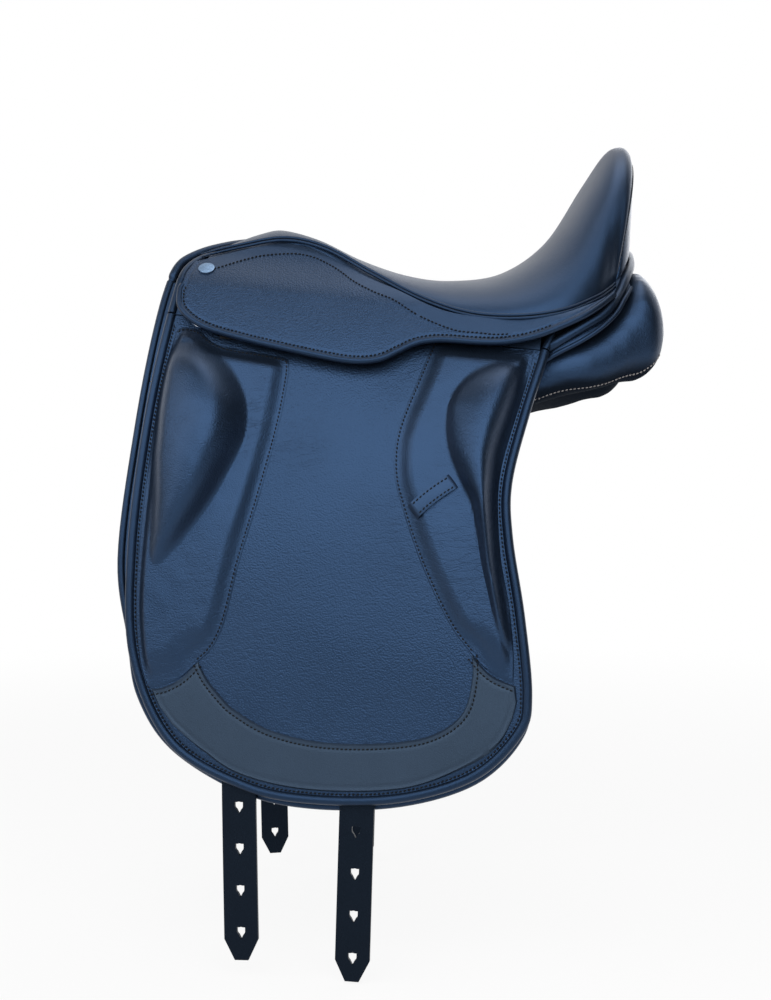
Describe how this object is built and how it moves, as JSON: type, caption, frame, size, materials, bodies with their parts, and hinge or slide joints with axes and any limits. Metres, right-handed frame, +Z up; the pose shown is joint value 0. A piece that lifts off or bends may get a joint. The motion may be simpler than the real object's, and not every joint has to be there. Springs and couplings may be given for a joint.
{
  "type": "dressage saddle",
  "caption": "Black leather dressage saddle with deep seat, high cantle, long straight flaps with knee and thigh blocks, lifting skirts, stirrup bars and long girth billets.",
  "frame": {"origin": "on the mid-plane, midway along the saddle, at the height where the panels bear on a back or a rack", "axes": "+X to the cantle, +Z up, -Y is the near (left) side that the picture shows"},
  "size_m": [0.5009, 0.4162, 0.7628],
  "materials": {
    "seat_leather": "smooth black leather",
    "flap_leather": "grained black leather",
    "cover_leather": "padded black leather",
    "panel_leather": "soft black leather",
    "strap_leather": "black strap leather",
    "foam": "seat foam",
    "wood": "laminated beech",
    "steel": "forged steel",
    "chrome": "bright plating",
    "webbing": "woven linen web"
  },
  "bodies": {
    "saddle": {"tree_head": "wood", "tree_rails": "wood", "head_plate": "steel", "head_rivets": "steel", "seat_webbing": "webbing", "seat_foam": "foam", "seat_cover": "seat_leather", "seat_welt_left": "seat_leather", "seat_welt_right": "seat_leather", "cantle_back": "seat_leather", "cantle_roll": "seat_leather", "pommel_lining": "panel_leather", "pommel_roll": "seat_leather", "skirt_root_left": "flap_leather", "skirt_root_right": "flap_leather", "head_studs": "chrome", "flap_root_left": "flap_leather", "flap_root_right": "flap_leather", "stirrup_bar_left": "chrome", "stirrup_bar_right": "chrome", "bar_rivets": "steel", "catch_pins": "steel", "panel_left": "panel_leather", "panel_right": "panel_leather", "panel_welts": "panel_leather", "sweat_flap_left": "panel_leather", "sweat_flap_right": "panel_leather", "sweat_roll_left": "panel_leather", "sweat_roll_right": "panel_leather", "girth_webs": "webbing", "web_rivets": "steel", "dee_chapes": "strap_leather"},
    "flap_left": {"flap_left": "flap_leather", "flap_roll_left": "flap_leather", "knee_cover_left": "cover_leather", "knee_block_left": "cover_leather", "thigh_cover_left": "cover_leather", "thigh_block_left": "cover_leather", "flap_patch_left": "flap_leather", "keeper_left": "strap_leather"},
    "skirt_left": {"skirt_left": "flap_leather", "skirt_roll_left": "flap_leather"},
    "front_billet_left": {"front_billet_left": "strap_leather"},
    "rear_billet_left": {"rear_billet_left": "strap_leather"},
    "dee_ring_left": {"dee_ring_left": "chrome"},
    "stirrup_catch_left": {"stirrup_catch_left": "chrome"},
    "flap_right": {"flap_right": "flap_leather", "flap_roll_right": "flap_leather", "knee_cover_right": "cover_leather", "knee_block_right": "cover_leather", "thigh_cover_right": "cover_leather", "thigh_block_right": "cover_leather", "flap_patch_right": "flap_leather", "keeper_right": "strap_leather"},
    "skirt_right": {"skirt_right": "flap_leather", "skirt_roll_right": "flap_leather"},
    "front_billet_right": {"front_billet_right": "strap_leather"},
    "rear_billet_right": {"rear_billet_right": "strap_leather"},
    "dee_ring_right": {"dee_ring_right": "chrome"},
    "stirrup_catch_right": {"stirrup_catch_right": "chrome"}
  },
  "joints": [
    {"name": "flap_lift_left", "type": "hinge", "parent": "saddle", "child": "flap_left", "pos_m": [-0.00056, -0.12396, 0.064], "axis": [-0.9839, 0.1383, 0.1132], "range_deg": [0, 10]},
    {"name": "flap_lift_right", "type": "hinge", "parent": "saddle", "child": "flap_right", "pos_m": [-0.00056, 0.12396, 0.064], "axis": [0.9839, 0.1383, -0.1132], "range_deg": [0, 10]},
    {"name": "skirt_lift_left", "type": "hinge", "parent": "saddle", "child": "skirt_left", "pos_m": [-0.07627, -0.11512, 0.10187], "axis": [-0.9839, 0.1383, 0.1132], "range_deg": [0, 75]},
    {"name": "skirt_lift_right", "type": "hinge", "parent": "saddle", "child": "skirt_right", "pos_m": [-0.07627, 0.11512, 0.10187], "axis": [0.9839, 0.1383, -0.1132], "range_deg": [0, 75]},
    {"name": "front_billet_swing_left", "type": "hinge", "parent": "saddle", "child": "front_billet_left", "pos_m": [-0.13036, -0.13034, -0.01405], "axis": [0.1392, 0.9903, 0], "range_deg": [-4, 8]},
    {"name": "front_billet_swing_right", "type": "hinge", "parent": "saddle", "child": "front_billet_right", "pos_m": [-0.13036, 0.13034, -0.01405], "axis": [-0.1392, 0.9903, 0], "range_deg": [-4, 8]},
    {"name": "rear_billet_swing_left", "type": "hinge", "parent": "saddle", "child": "rear_billet_left", "pos_m": [-0.01111, -0.1471, -0.02777], "axis": [0.1392, 0.9903, 0], "range_deg": [-8, 4]},
    {"name": "rear_billet_swing_right", "type": "hinge", "parent": "saddle", "child": "rear_billet_right", "pos_m": [-0.01111, 0.1471, -0.02777], "axis": [-0.1392, 0.9903, 0], "range_deg": [-8, 4]},
    {"name": "dee_swing_left", "type": "hinge", "parent": "saddle", "child": "dee_ring_left", "pos_m": [-0.16623, -0.10464, 0.08451], "axis": [-0.9839, 0.1383, 0.1132], "range_deg": [0, 18]},
    {"name": "dee_swing_right", "type": "hinge", "parent": "saddle", "child": "dee_ring_right", "pos_m": [-0.16623, 0.10464, 0.08451], "axis": [0.9839, 0.1383, -0.1132], "range_deg": [0, 18]},
    {"name": "catch_turn_left", "type": "hinge", "parent": "saddle", "child": "stirrup_catch_left", "pos_m": [-0.09305, -0.11335, 0.05983], "axis": [-0.1128, -0.9719, 0.2066], "range_deg": [0, 60]},
    {"name": "catch_turn_right", "type": "hinge", "parent": "saddle", "child": "stirrup_catch_right", "pos_m": [-0.09305, 0.11335, 0.05983], "axis": [0.1128, -0.9719, -0.2066], "range_deg": [0, 60]}
  ]
}
